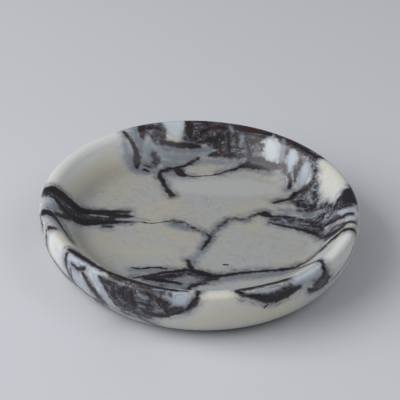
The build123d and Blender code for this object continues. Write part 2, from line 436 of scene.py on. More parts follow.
# The left of the bowl and its rim.
LEFT: Traces = {
    Stone.WARM: (((-40, -14, 3), (-34, -20, 4), (-25, -22, 4), (-14, -20, 3)),),
    Stone.HAZE: (
        ((-62, -8.4, 1.6), (-58.5, -7.4, 2.2), (-56.4, -6.4, 1.6)),
        ((-62, -16, 1.4), (-58.6, -17.4, 1.6), (-56.4, -20.6, 1.4), (-54.4, -24, 1)),
        ((-55.4, -12, 1.6), (-53, -17, 1.8), (-50.6, -23, 1.6), (-48.6, -27, 1)),
    ),
    Stone.MATRIX: (
        ((-62.5, 1.2, 2.2), (-57, 1.2, 3.8), (-52, 0.8, 4.6), (-46, 1.4, 4.4), (-41, 1.6, 4),
         (-37, 2.2, 3.4), (-33, 3, 2.2), (-30, 3.6, 1.2)),
        ((-56, -4.5, 1.6), (-53, -6.5, 1.6)),
        ((-64, -0.4, 1), (-60.4, -0.6, 1.5)),
        ((-39, -4.4, 0.5), (-35.8, -4.4, 0.5)),
    ),
    Stone.CLOUDED: (((-60.4, -10, 0.7), (-57, -10.4, 1)),),
    Stone.SHARD: (
        ((-63.8, -4.4, 1.4), (-60.5, -5, 1.8)),
        ((-61.5, -17, 1), (-59.6, -19.5, 1)),
    ),
    Stone.VEIN: (
        ((-63.4, 2.6, 1.6), (-60, 3.6, 2.3), (-56.5, 4.4, 2.4), (-53, 4.5, 2.2), (-49, 4.7, 1.9),
         (-45, 5.4, 1.7), (-40, 5.9, 1.4), (-35, 6.4, 1.2), (-31.5, 6.9, 0.8), (-28.5, 7, 0.4)),
        ((-38.5, 3.9, 0.6), (-34, 3.9, 0.9), (-30.5, 3.7, 0.8), (-28, 3.5, 0.4)),
        ((-58, -1.5, 1.4), (-56, -3, 1.4), (-52.5, -4.3, 2), (-48, -2.6, 2.4), (-44, -1.8, 2.2),
         (-40, -1.7, 1.9), (-36, -1.2, 1.3), (-32, -0.6, 0.8), (-28.5, -0.5, 0.4)),
        ((-53.6, -7.5, 1.4), (-55.8, -10, 1.3), (-57.2, -12, 1.2)),
        ((-64.4, -13, 1.7), (-61.5, -13.3, 1.9), (-59, -14, 1.8), (-57, -15.4, 1.6), (-55, -18.4, 1.2),
         (-53, -21.6, 0.9), (-51, -25.2, 0.6), (-49, -28.2, 0.3)),
        ((-59.6, -23.2, 0.5), (-57.8, -24.2, 0.9), (-56, -24.4, 0.5)),
    ),
    Stone.RUST: (
        ((-33.5, 6.2, 0.7), (-30.5, 5.8, 0.8)),
        ((-58.8, -23.9, 0.5), (-57.2, -24.6, 0.6)),
    ),
    Stone.CHIP: (
        ((-45, 3.3, 0.12), (-41, 3, 0.2), (-37.5, 2.7, 0.2)),
        ((-34, 1.1, 0.3), (-30, 1.4, 0.6), (-26, 1.9, 0.8), (-22, 1.6, 0.5), (-19.5, 1.2, 0.2)),
    ),
    Stone.THREAD: (
        ((-29, -0.5, 0.5), (-26.5, -0.4, 0.35), (-24.5, 0.1, 0.25), (-21, -0.5, 0.35), (-18.5, -0.6, 0.25),
         (-12, 1.6, 0.3)),
    ),
}

# The rim at the front.
FRONT_RIM: Traces = {
    Stone.PALE: (((51, -36, 2.5), (57.5, -24, 2.5), (60, -19, 1.2)),),
    Stone.MATRIX: (
        ((-32.6, -54.2, 0.5), (-29.6, -56.2, 1.2), (-26, -57.8, 1.8), (-20, -60.2, 1.8), (-13, -62, 1.4)),
    ),
    Stone.SHARD: (
        # Pale blue along the rim's outer edge at the front left: partly fragments, partly painted highlight.
        ((-49.3, -40.4, 0.6), (-46, -43.4, 0.9), (-42, -47.6, 0.9), (-38.2, -50.4, 0.8),
         (-35.8, -52.2, 0.7)),
        ((37.5, -50.5, 1.3), (43, -45.8, 2), (47, -41.3, 1.5)),
        # Pale bits on the rim, partly painted highlight.
        ((-15.5, -60.9, 0.4), (-12.5, -61.6, 0.4)),
        ((-8.5, -62.8, 1.2), (-4, -63, 1.4)),
    ),
    Stone.VEIN: (
        ((-49.8, -38.2, 0.6), (-48, -39.2, 1.1), (-46, -40.9, 1.3), (-44, -42.8, 1.4)),
        ((-44, -42.4, 1.5), (-42, -44.4, 1.4), (-39.6, -46.7, 1.3), (-37, -49, 1.1), (-35, -50.8, 0.9)),
        ((-35.5, -50.4, 0.8), (-32, -52.3, 1.1), (-27, -54.8, 1.3), (-21.5, -57.1, 1.2), (-16, -59.2, 0.9)),
        ((-16, -59.4, 0.9), (-9, -61, 0.8), (-3, -61.4, 0.4)),
        ((0.6, -63.2, 0.9), (0.8, -61, 0.8), (-0.6, -56, 0.8), (-2, -50, 0.9), (-3, -44, 0.9)),
        ((15.6, -59.2, 0.5), (17.4, -58.6, 1.1), (19.5, -57.8, 1.3), (24, -55.7, 1.1), (30, -53.1, 0.9)),
        ((30, -53.2, 0.8), (34, -51.2, 0.7), (35.6, -50.4, 0.3)),
        ((15.4, -60.2, 1), (17.3, -61.5, 1.3), (19.4, -61.8, 1)),
        ((40.5, -29.5, 0.5), (43.8, -33.9, 0.8), (46, -36.4, 1), (47.4, -38.4, 0.8), (48.2, -40.4, 0.5),
         (48, -42.4, 0.8)),
    ),
    Stone.CHIP: (((37.6, -50.8, 0.9), (40, -49, 1.1), (43.6, -45.4, 1.6), (46, -42.6, 1)),),
}

# The front of the floor, and the slope between it and the rim.
FRONT_FLOOR: Traces = {
    Stone.HAZE: (
        ((-2.6, -23.5, 1.2), (-0.8, -27, 1)),
        ((10, -37.4, 1.4), (17, -35.2, 1.8), (24, -33.8, 1.8), (32, -31.8, 1.6), (38, -30.2, 1.2)),
        ((-26, -33.4, 1.4), (-19, -33, 2), (-13, -32, 1.8), (-8.5, -31.6, 1.2)),
        ((-7.5, -37.5, 1.8), (-3, -38, 1.8), (0.5, -38.4, 1.2)),
        ((-17, -41.6, 1.5), (-11, -42.5, 1.8), (-5, -43.5, 1.5)),
        ((13.5, -29.9, 0.7), (16.3, -30.9, 0.7)),
    ),
    Stone.BRECCIA: (
        ((-26, -52, 2.2), (-18, -47.5, 2), (-13, -43.5, 1.5)),
        ((-3.4, -44, 0.8), (-0.8, -41.6, 1.1), (2.2, -39.6, 1.2), (5, -38, 1.2)),
    ),
    Stone.MATRIX: (
        ((-4.8, -32.6, 1.3), (-1.5, -33.6, 1.9), (3, -35.4, 2.3), (7, -36, 1.6)),
        ((-20.5, -38, 0.8), (-15, -37.4, 1.7), (-10, -36.6, 1.9), (-6, -34.4, 1.3)),
    ),
    Stone.VEIN: (
        ((-3.6, -25.8, 0.7), (-3.2, -28.6, 0.9), (-2.4, -30.8, 1.2)),
        ((-4.8, -31.8, 0.9), (-1.2, -32.4, 1.2), (2.8, -34, 1.4), (6.5, -35.2, 1.1), (10, -34.8, 0.9),
         (13, -33.8, 0.8), (17, -32.4, 0.8), (20, -31.8, 0.7), (25, -30.6, 0.6), (28, -30, 0.7),
         (32, -29.2, 0.8), (36, -28.3, 0.8), (39, -27.8, 0.9), (41, -26.2, 0.8)),
        ((-24.5, -38.6, 0.4), (-18.5, -36.6, 0.5), (-15, -35.2, 0.6), (-12.3, -34, 0.8),
         (-4.8, -32.2, 0.9)),
        ((-20, -38.6, 0.7), (-15, -39.2, 1), (-10.5, -40, 1), (-6, -41, 0.6)),
        ((-3.2, -43.4, 0.6), (-0.6, -41.4, 0.8), (1.6, -40, 0.5)),
    ),
    Stone.RUST: (((-3.8, -25.5, 0.7), (-3.2, -28, 0.7)),),
    Stone.THREAD: (
        ((-26, -31.8, 0.4), (-23, -32.4, 0.5), (-19, -31.4, 0.6), (-16, -31, 0.6), (-12, -31.6, 0.4)),
        ((10.6, -27.4, 0.4), (12, -27.2, 0.4)),
    ),
}

# The outer wall at the left.
LEFT_WALL: Traces = {
    Stone.PALE: (((-153, 22, 2.5), (-149, 17.5, 3), (-147, 13, 2.5)),),
    # Blue-grey haze on the left of the outer wall, partly painted shade.
    Stone.HAZE: (((-163, 21, 1.6), (-168, 17, 2.4), (-160, 12, 2.2), (-148, 9, 2), (-138, 7.5, 2)),),
    Stone.CLOUDED: (((-173, 19, 0.9), (-166, 17, 1.1), (-158, 15, 0.9)),),
    Stone.VEIN: (
        ((-158, 23.4, 0.5), (-157.2, 21.4, 0.6), (-157, 18.5, 0.6), (-156, 14.5, 0.6), (-149.5, 13.9, 0.5),
         (-145, 12.8, 0.5), (-141.1, 12.4, 0.5), (-137.3, 12.7, 0.5), (-130.7, 10.1, 0.5)),
    ),
    Stone.THREAD: (((-170.7, 21.8, 0.7), (-162.5, 22.7, 0.7), (-160.6, 20.2, 0.6)),),
}

# The outer wall at the front.
FRONT_WALL: Traces = {
    Stone.WARM: (
        ((-90, 8, 5), (-84, 16, 6), (-70, 14, 6), (-55, 12, 5)),
        ((-88, 24, 3), (-78, 24, 3)),
    ),
    Stone.PALE: (
        ((-127, 24, 1.5), (-124.1, 20, 1.8), (-121.3, 15.6, 1.6), (-119, 11.6, 1.4)),
        ((-36, 23, 1.6), (-29, 22, 2.8), (-22, 21, 2.6)),
    ),
    Stone.HAZE: (
        ((-140.8, 21.5, 1.4), (-137, 20.4, 1.4), (-134.5, 20.6, 1.2)),
        # Haze low on the front wall, darker towards the base: partly painted shade.
        ((-119, 10, 2.6), (-112, 8.5, 2.8), (-107, 8, 2.2), (-103, 8.5, 1.2)),
        ((-47.5, 22, 0.8), (-45, 21, 1)),
    ),
    Stone.BRECCIA: (
        ((-109, 20.4, 1.4), (-104, 20, 1.6)),
        ((-116, 9.5, 1), (-110, 10.5, 1.2), (-106, 11, 0.8)),
        ((-46, 20, 0.8), (-43, 18.2, 1.6), (-40, 17.2, 1.2)),
    ),
    Stone.MATRIX: (
        ((-130.8, 20.4, 0.6), (-128.7, 17.6, 1.2), (-126.5, 14.8, 1.8), (-124.2, 11.4, 2.2)),
        ((-127.4, 9.6, 2), (-124.4, 6.5, 2.2), (-119, 4, 2)),
        ((-121, 21.5, 1.4), (-117.4, 18.5, 3), (-113, 18, 4), (-108, 18.5, 3.8), (-103, 19.6, 3.4),
         (-100.3, 20.4, 2)),
        ((-117.5, 14.5, 1.6), (-111, 13, 1.8), (-106, 14, 1.6), (-101, 14.8, 1.2)),
        ((-123.6, 23, 1.2), (-117, 23, 1.8), (-110, 23, 1.8), (-103, 23.2, 1.6)),
        ((-99.5, 16.8, 1.1), (-98, 18, 1.2), (-95.6, 18.8, 0.9), (-94, 19.4, 0.5)),
        ((-70, 23.4, 0.9), (-64, 22.6, 1.1), (-60, 23.2, 1.3), (-57, 23, 1.2), (-55.6, 22.8, 0.8)),
        ((-41.2, 21.6, 1.3), (-42.8, 19.6, 2), (-45.2, 18.4, 1.4), (-47.4, 17.8, 0.7)),
    ),
    Stone.CLOUDED: (
        ((-109, 22, 1.2), (-107, 21.4, 1.3)),
        ((-109, 17.2, 0.8), (-107.4, 17, 0.8)),
        ((-104, 24.3, 0.5), (-102.6, 23.8, 0.6)),
        ((-103.6, 16.8, 1), (-101.2, 17.1, 0.9)),
        ((-110, 19.8, 0.4), (-106.6, 19.4, 0.5)),
        ((-107, 7.6, 0.8), (-103.4, 6.2, 0.9)),
    ),
    Stone.SHARD: (
        # Pale blue fragments at the rim's outer edge, partly painted highlight.
        ((-140, 23.4, 1.2), (-136.5, 23.2, 1.4), (-132.5, 22.4, 1.2)),
        ((-138, 15.5, 1.2), (-134.6, 17.5, 1.8), (-132, 14.5, 1.6), (-131.5, 10.5, 1.8)),
        ((-127, 23.6, 0.9), (-124.2, 19.8, 1.1), (-121.4, 15.6, 0.9), (-119.2, 12, 0.7)),
        ((-97.3, 22.8, 1.1), (-95, 22.4, 1.8), (-93, 23, 1.2)),
        ((-70.5, 24.7, 0.3), (-66.5, 24.5, 0.8), (-63, 24.4, 0.8), (-60.8, 24.4, 0.5)),
        ((-56.4, 24.6, 0.9), (-50, 24.2, 1.6), (-44, 24, 1.6)),
    ),
    Stone.VEIN: (
        ((-141.6, 24.2, 0.8), (-141.2, 21, 0.8), (-140.4, 17.8, 0.7), (-139, 14.5, 0.7)),
        ((-138, 22.4, 0.4), (-136, 22.2, 0.7), (-134.2, 21.8, 0.8), (-131.8, 23.8, 0.9)),
        ((-132, 21.4, 0.6), (-129.4, 18.6, 0.8), (-127.2, 15.8, 0.9), (-125.4, 13.4, 0.8)),
        ((-124.6, 24, 0.3), (-122.8, 21.3, 0.4), (-120.8, 18, 0.4), (-118.6, 14.3, 0.4), (-116, 11, 0.3)),
        ((-112.2, 22.5, 0.8), (-111.6, 20.5, 1), (-110.9, 17, 1.2)),
        ((-107.6, 24.7, 0.4), (-106, 23.4, 0.7), (-104.8, 22.3, 0.4)),
        ((-99.8, 24.9, 0.5), (-98.6, 24.4, 0.6)),
        ((-110, 18.8, 0.4), (-107, 18.3, 0.6), (-104.3, 18.4, 0.4)),
        ((-107.5, 14.6, 0.6), (-104, 13.8, 0.8), (-101, 14, 0.8), (-99.4, 14.8, 0.8)),
        ((-100, 18.5, 0.5), (-99.4, 16.6, 0.8)),
        ((-99.4, 14.6, 0.8), (-97.5, 16.1, 0.7), (-95, 17.6, 0.6), (-93, 18.9, 0.7), (-91.6, 20.8, 0.9)),
        ((-91.6, 20.6, 0.9), (-90.5, 22.6, 1.3), (-89.5, 24.3, 1)),
        ((-109.4, 8.8, 0.4), (-106, 6.6, 0.6), (-104, 4.6, 0.4)),
        ((-75, 25, 0.7), (-72, 24, 0.9), (-69.5, 22.9, 1.1), (-65.5, 21.1, 1.7), (-62.4, 20.2, 1.8),
         (-60, 20.8, 1.7), (-57.5, 21.4, 1.5), (-55.2, 21.8, 1.2), (-53.4, 22.2, 0.8)),
        ((-56.8, 24.6, 0.4), (-56.2, 24, 0.5)),
        ((-40.9, 24.8, 0.7), (-41.2, 22.6, 0.9), (-42, 20.8, 1)),
        ((-49, 19, 0.5), (-47.6, 17.9, 0.8), (-45, 16.6, 0.7), (-43, 15.8, 0.5)),
        ((-39.4, 18.8, 0.9), (-39.6, 17.2, 1.2), (-41.6, 15.9, 0.8)),
        ((-39.3, 20.2, 0.6), (-38.4, 18.6, 0.8)),
    ),
    Stone.RUST: (
        ((-90.5, 22.9, 0.8), (-90.2, 21.4, 0.6)),
        ((-46.6, 21.8, 0.4), (-44.8, 20.7, 0.5)),
    ),
    # A pale fragment at the rim's outer edge, whitened partly by painted highlight.
    Stone.CHIP: (((-53, 25, 0.5), (-49, 24.4, 0.9), (-45.5, 24.2, 0.8)),),
    Stone.THREAD: (
        ((-15.2, 24.6, 0.5), (-15.4, 22, 0.4), (-18, 19.5, 0.4)),
        ((-138.4, 19.5, 0.5), (-138, 15.5, 0.4), (-137.6, 11, 0.4)),
        ((-66.4, 17.6, 0.5), (-65.6, 18.6, 0.4)),
        ((-20, 21.3, 0.4), (-22.1, 18.4, 0.5), (-25.7, 18, 0.4), (-31.8, 16.2, 0.4), (-38.1, 15.2, 0.4)),
    ),
}

# The back of the outer wall, laid out to follow the rim's zones down.
BACK_WALL: Traces = {
    Stone.PALE: (((22, 20, 2.5), (22, 12, 3)),),
    Stone.HAZE: (
        ((128, 17, 1.8), (133, 12, 2.2)),
        ((55, 9, 3), (64, 6, 3)),
        ((180, 18, 2), (178, 11, 2.4)),
    ),
    Stone.BRECCIA: (
        ((50, 21, 2.5), (62, 18, 4), (75, 17, 4.5), (88, 16, 4), (97, 18, 3)),
        ((70, 12, 2), (78, 7, 2.5), (84, 4, 2)),
        ((112, 21, 2.2), (116, 18, 2.4)),
    ),
    Stone.MATRIX: (
        ((119, 24.4, 1.2), (113, 24, 1.6), (108, 23.8, 1.4)),
        ((97, 24, 2), (91, 24, 1.8)),
        ((78, 24, 1.2), (68, 24, 1.7), (56, 24, 1.8), (45, 24, 1.6), (37, 24.2, 1)),
    ),
    Stone.SHARD: (
        ((66, 21.5, 1.6), (70, 18.5, 1.4)),
        ((45, 18, 2), (42, 13, 2.2)),
        ((86, 9, 1.8), (92, 7, 1.6)),
    ),
    Stone.VEIN: (
        ((14, 24.2, 1.2), (8, 24, 1.6), (4, 24.4, 1)),
        ((112, 23, 1), (115, 18, 1.2), (119, 12, 1.4), (122, 5, 1.2), (121, 2, 0.8)),
        ((95, 22, 1.2), (97, 14, 1.6), (101, 8, 1.2), (104, 3, 0.8)),
        ((60, 20, 1.2), (70, 15, 1.5), (80, 13.5, 1.2), (92, 12, 0.8)),
        ((36, 24, 0.9), (33, 17, 1.1), (28, 10, 1), (27, 4, 0.8)),
        ((8, 22, 2.4), (9, 16, 2), (12, 9, 1.4), (13, 3, 0.8)),
        ((176, 22, 2.2), (173, 15, 2.4), (169, 8, 1.6), (167, 3, 1)),
    ),
    Stone.RUST: (((97, 15, 0.8), (99, 11, 0.7)),),
    Stone.CHIP: (
        ((102.5, 23.5, 3.6), (103.5, 20, 2.8), (105, 16.5, 1.4)),
        ((58, 21.5, 1.8), (56.5, 17.5, 2.2), (55, 14.5, 1.4)),
    ),
    Stone.THREAD: (
        ((140, 23, 0.3), (146, 14, 0.4), (150, 6, 0.3)),
        ((152, 24, 0.3), (160, 16, 0.4), (163, 9, 0.4)),
    ),
}

# The underside.
UNDERSIDE: Traces = {
    Stone.HAZE: (((-10, -10, 4), (12, -14, 3)),),
    Stone.BRECCIA: (((-20, 44, 3), (0, 48, 4), (20, 44, 3.5), (36, 36, 3), (48, 20, 2)),),
    Stone.VEIN: (
        ((-54, 8, 1.6), (-30, 3, 1.8), (-8, 6, 1.4), (12, 1, 1.8), (34, 5, 1.4), (53, 0, 1.6)),
        ((-46, -28, 1), (-22, -26, 1.6), (-2, -33, 1.4), (20, -29, 1.2), (47, -24, 0.8)),
        ((-16, 42, 1), (-14, 26, 1.2), (-10, 14, 0.9), (-8, 6, 0.8)),
    ),
    Stone.THREAD: (((10, 0, 0.4), (22, 16, 0.4), (30, 36, 0.4)),),
}

PATTERN = (
    Region(Side.TOP, BACK),
    Region(Side.TOP, RIGHT),
    Region(Side.TOP, MIDDLE),
    Region(Side.TOP, LEFT),
    Region(Side.TOP, FRONT_RIM),
    Region(Side.TOP, FRONT_FLOOR),
    Region(Side.WALL, LEFT_WALL),
    Region(Side.WALL, FRONT_WALL),
    Region(Side.WALL, BACK_WALL),
    Region(Side.BASE, UNDERSIDE),
)


@dataclass(frozen=True)
class DishShape:
    """The dish's section, in millimetres, as its solid has it."""

    height: float = 25.0
    outer_radius: float = 65.0
    widest_height: float = 19.8
    rim_radius: float = 64.1
    bowl_radius: float = 60.27
    bowl_edge_radius: float = 4.9
    floor_radius: float = 48.27
    floor_height: float = 13.0
    base_radius: float = 54.6
    base_height: float = 1.5

    def top_height(self, radius: float) -> float:
        """Work out the height of the top side of the dish.

        Args:
            radius: How far from the axis, in millimetres.

        Returns:
            The height of the floor, slope or rim there, in millimetres.
        """
        rise, run = self.height - self.floor_height, self.bowl_radius - self.floor_radius
        lean = math.atan2(rise, run)
        crest = self.bowl_radius + self.bowl_edge_radius * math.tan(lean / 2)
        if radius < crest - self.bowl_edge_radius * math.sin(lean):
            return self.floor_height + rise * max((radius - self.floor_radius) / run, 0.0)
        fall = self.bowl_edge_radius**2 - (crest - min(radius, crest)) ** 2
        return self.height - self.bowl_edge_radius + math.sqrt(fall)

    def wall_radius(self, height: float) -> float:
        """Work out the radius of the outer wall, from the two arcs that meet at the widest line.

        Args:
            height: How far above the underside of the feet, in millimetres.

        Returns:
            The radius in millimetres.
        """
        above = height > self.widest_height
        edge, edge_height = (self.rim_radius, self.height) if above else (self.base_radius, self.base_height)
        setback, rise = self.outer_radius - edge, abs(edge_height - self.widest_height)
        arc = (setback**2 + rise**2) / (2 * setback)
        return self.outer_radius - arc + math.sqrt(max(arc**2 - (height - self.widest_height) ** 2, 0.0))

    def place(self, side: Side, first: float, second: float) -> Vector:
        """Put a point of the pattern on the surface.

        Args:
            side: The side of the dish that the point is on.
            first: x, or the angle in degrees on the wall.
            second: y, or the height on the wall.

        Returns:
            The point in millimetres.
        """
        if side is Side.WALL:
            radius, angle = self.wall_radius(second), math.radians(first)
            return Vector((radius * math.cos(angle), radius * math.sin(angle), second))
        height = self.base_height if side is Side.BASE else self.top_height(math.hypot(first, second))
        return Vector((first, second, height))


class MarbleBuilder:
    """Lays the nodes of the marble in its tree."""

    def __init__(self, tree: Tree, shape: DishShape, coarse_mm: float, fine_mm: float) -> None:
        """Start from the point in millimetres on the dish's axes, and from a coarse and a fine noise.

        Args:
            tree: The material's node tree.
            shape: The dish that the pattern is laid out on.
            coarse_mm: The grain of the coarse noise.
            fine_mm: The grain of the fine noise.
        """
        self.add = partial(add_node, tree)
        self.shape = shape
        self.group = self.stretch_group()
        self.point = self.add(Node.VECTOR_SCALE, self.add(Node.OBJECT_POINT), 1 / MM)
        self.coarse = self.add(Node.NOISE, self.point, 1 / coarse_mm)
        self.fine = self.add(Node.NOISE, self.point, 1 / fine_mm)

    def centred(self, value: Socket, reach: float) -> Socket:
        """Centre a value between 0 and 1 on zero and give it a reach."""
        return self.add(Node.MULTIPLY_ADD, value, reach, -reach / 2)

    def bend(self, sizes: tuple[tuple[float, float, float], ...]) -> Socket:
        """Move the point about by noise.

        Args:
            sizes: The grain and the reach of each noise in millimetres, and its detail.

        Returns:
            The bent point.
        """
        bent = self.point
        for grain, reach, detail in sizes:
            colour = self.add(Node.NOISE_COLOUR, self.point, 1 / grain, detail)
            shift = self.add(Node.VECTOR_MULTIPLY_ADD, colour, (reach,) * 3, (-reach / 2,) * 3)
            bent = self.add(Node.VECTOR_ADD, bent, shift)
        return bent

    def stretch_group(self) -> Tree:
        """Build the group that measures how far a point lies outside one straight stretch of a trace.

        Returns:
            The group: millimetres from the surface of a round rod that tapers between two half widths.
        """
        vectors = ("Point", "Start", "Run", "Per Run")
        tree, given = new_distance_group("stretch_distance", vectors, ("Width", "Widening"))
        add = partial(add_node, tree)
        away = add(Node.VECTOR_SUBTRACT, given["Point"], given["Start"])
        share = add(Node.CLAMP, add(Node.DOT, away, given["Per Run"]))
        gap = add(Node.DISTANCE, away, add(Node.VECTOR_SCALE, given["Run"], share))
        width = add(Node.MULTIPLY_ADD, share, given["Widening"], given["Width"])
        add(Node.GROUP_OUTPUT, add(Node.SUBTRACT, gap, width))
        return tree

    def distance(self, point: Socket, stone: Stone) -> Socket:
        """Measure how far a point lies outside the nearest trace of one kind of stone.

        Args:
            point: The bent point in millimetres.
            stone: The kind of stone to look for.

        Returns:
            The distance in millimetres, negative inside.
        """
        tree, given = new_distance_group(f"{stone.name.lower()}_distance", ("Point",))
        add = partial(add_node, tree)
        nearest = None
        for region in PATTERN:
            for first, last in (ends for trace in region.traces.get(stone, ()) for ends in pairwise(trace)):
                start = self.shape.place(region.side, *first[:2])
                run = self.shape.place(region.side, *last[:2]) - start
                rod = (start, run, run / run.length_squared, first[2], last[2] - first[2])
                found = add(Node.GROUP, given["Point"], *rod, node_tree=self.group)
                nearest = found if nearest is None else add(Node.MINIMUM, nearest, found)
        add(Node.GROUP_OUTPUT, nearest)
        return self.add(Node.GROUP, point, node_tree=tree)


@dataclass(frozen=True)
class CalciteBody:
    """The creamy body between the veins: warmer and cooler clouds, faint wisps and a fine mottle."""

    warm: str = "CAC7BC"
    cool: str = "C3C6C6"
    cloud_mm: float = 18.0
    cloud_detail: float = 3.0
    cloud_edges: tuple[float, float] = (0.38, 0.62)
    wisp: str = "9A9CA4"
    wisp_mm: float = 11.0
    wisp_detail: float = 2.0
    wisp_twist: float = 1.2
    wisp_width: float = 0.03  # the share of the noise's range that a wisp takes up
    wisp_cover: float = 0.22
    mottle: tuple[float, float] = (0.16, 0.10)  # how far the coarse and the fine noise change the colour

    def colour(self, lay: MarbleBuilder) -> Socket:
        """Colour the body between the veins.

        Args:
            lay: The builder of the marble's nodes.

        Returns:
            The colour.
        """
        cloud = lay.add(Node.NOISE, lay.point, 1 / self.cloud_mm, self.cloud_detail)
        cloud = lay.add(Node.SMOOTH_RAMP, cloud, *self.cloud_edges)
        colour = lay.add(Node.MIX, cloud, linear(self.warm), linear(self.cool))
        ridge = lay.add(Node.NOISE, lay.point, 1 / self.wisp_mm, self.wisp_detail, self.wisp_twist)
        ridge = lay.add(Node.ABSOLUTE, lay.centred(ridge, 1.0))
        wisp = lay.add(Node.SMOOTH_RAMP, ridge, self.wisp_width, 0.0, 0.0, self.wisp_cover)
        colour = lay.add(Node.MIX, wisp, colour, linear(self.wisp))
        coarse, fine = self.mottle
        mottle = lay.add(Node.ADD, lay.centred(lay.coarse, coarse), lay.centred(lay.fine, fine))
        return lay.add(Node.VECTOR_SCALE, colour, lay.add(Node.ADD, mottle, 1.0))


@dataclass(frozen=True)
class CrushedStone:
    """Crushed and healed stone: chips of many greys, streaked, in a dark matrix."""

    greys: tuple[tuple[float, str], ...] = (
        (0.20, "1E1A1E"),
        (0.40, "383339"),
        (0.55, "5A5860"),
        (0.70, "7C818D"),
        (0.90, "A2A9B4"),
    )
    middles: tuple[tuple[Stone, float], ...] = ((Stone.BRECCIA, 0.50), (Stone.MATRIX, 0.34))
    drawn_out: tuple[float, float, float] = (1.7, 1.0, 1.3)  # of the chips and streaks, along each axis
    streak_mm: float = 2.4
    streak_detail: float = 3.0
    streak_twist: float = 0.6
    streak_reach: float = 1.15
    chip_mm: float = 1.8
    chip_reach: float = 0.28
    speck_mm: float = 0.9
    speck_reach: float = 0.9

    def colours(self, lay: MarbleBuilder, bent: Socket) -> dict[Stone, Socket]:
        """Colour the crushed zones.

        Args:
            lay: The builder of the marble's nodes.
            bent: The bent point in millimetres.

        Returns:
            The colour of each crushed kind of stone.
        """
        drawn = lay.add(Node.VECTOR_MULTIPLY, bent, tuple(1 / length for length in self.drawn_out))
        streaks = lay.add(Node.NOISE, drawn, 1 / self.streak_mm, self.streak_detail, self.streak_twist)
        chips = lay.add(Node.RED, lay.add(Node.CELLS, drawn, 1 / self.chip_mm))
        specks = lay.add(Node.NOISE, lay.point, 1 / self.speck_mm)
        tone = lay.add(Node.ADD, lay.centred(streaks, self.streak_reach), lay.centred(chips, self.chip_reach))
        tone = lay.add(Node.ADD, tone, lay.centred(specks, self.speck_reach))
        colours = {}
        for stone, middle in self.middles:
            colours[stone] = lay.add(Node.COLOUR_RAMP, lay.add(Node.ADD, tone, middle))
            stops = colours[stone].node.color_ramp.elements
            for at, _ in self.greys[1:-1]:
                stops.new(at)
            for stop, (at, code) in zip(stops, self.greys):
                stop.position, stop.color = at, linear(code)
        return colours


@dataclass(frozen=True)
class VeinSmoke:
    """Blue-grey smoke in the calcite round the veins and the crushed zones."""

    tint: str = "7C828C"
    reach_mm: float = 3.8
    patch_mm: float = 5.0
    patch_edges: tuple[float, float] = (0.34, 0.62)
    patch_covers: tuple[float, float] = (0.2, 0.85)

    def over(self, lay: MarbleBuilder, colour: Socket, outside: Socket) -> Socket:
        """Lay the smoke over a colour.

        Args:
            lay: The builder of the marble's nodes.
            colour: The colour so far.
            outside: Millimetres from the edge of the nearest vein or zone.

        Returns:
            The colour.
        """
        patches = lay.add(Node.NOISE, lay.point, 1 / self.patch_mm)
        patches = lay.add(Node.SMOOTH_RAMP, patches, *self.patch_edges, *self.patch_covers)
        smoke = lay.add(Node.MULTIPLY, lay.add(Node.SMOOTH_RAMP, outside, self.reach_mm, 0.0), patches)
        return lay.add(Node.MIX, smoke, colour, linear(self.tint))


@dataclass(frozen=True)
class VeinThreads:
    """Broken dark threads that run beside the veins."""

    tint: str = LOOKS[Stone.THREAD].edge
    away_mm: float = 1.2
    half_width_mm: float = 0.35
    patch_mm: float = 3.2
    patch_edges: tuple[float, float] = (0.48, 0.6)
    cover: float = 0.6

    def over(self, lay: MarbleBuilder, colour: Socket, outside: Socket) -> Socket:
        """Lay the threads over a colour.

        Args:
            lay: The builder of the marble's nodes.
            colour: The colour so far.
            outside: Millimetres from the edge of the nearest vein.

        Returns:
            The colour.
        """
        patches = lay.add(Node.NOISE, lay.point, 1 / self.patch_mm)
        patches = lay.add(Node.SMOOTH_RAMP, patches, *self.patch_edges, 0.0, self.cover)
        beside = lay.add(Node.ABSOLUTE, lay.add(Node.SUBTRACT, outside, self.away_mm))
        thread = lay.add(Node.MULTIPLY, lay.add(Node.SMOOTH_RAMP, beside, self.half_width_mm, 0.0), patches)
        return lay.add(Node.MIX, thread, colour, linear(self.tint))


@dataclass(frozen=True)
class FloorPaintedShade:
    """Painted shade: the stone's colour darkened on the bowl's floor, coming back to the full colour towards
    the rim.
    """

    painted_shade_share: float = 0.615  # the share of its colour that the stone keeps on the floor under the painted shade
    floor_radius: float = 48.0  # between these two radii it comes back to the full colour
    rim_radius: float = 57.5
    wall_top: float = 12.0  # below this height a point can only be on the outer wall or the underside
    blend: float = 0.5

    def over(self, lay: MarbleBuilder, colour: Socket) -> Socket:
        """Paint shade over a colour on the floor of the bowl.

        Args:
            lay: The builder of the marble's nodes.
            colour: The stone's full colour.

        Returns:
            The colour.
        """
        flat = lay.add(Node.VECTOR_MULTIPLY, lay.point, (1.0, 1.0, 0.0))
        radius = lay.add(Node.LENGTH, flat)
        inside = lay.add(Node.SMOOTH_RAMP, radius, self.floor_radius, self.rim_radius, self.painted_shade_share, 1.0)
        edges = (self.wall_top + self.blend, self.wall_top - self.blend)
        below = lay.add(Node.SMOOTH_RAMP, lay.add(Node.HEIGHT, lay.point), *edges)
        return lay.add(Node.VECTOR_SCALE, colour, lay.add(Node.MAXIMUM, inside, below))


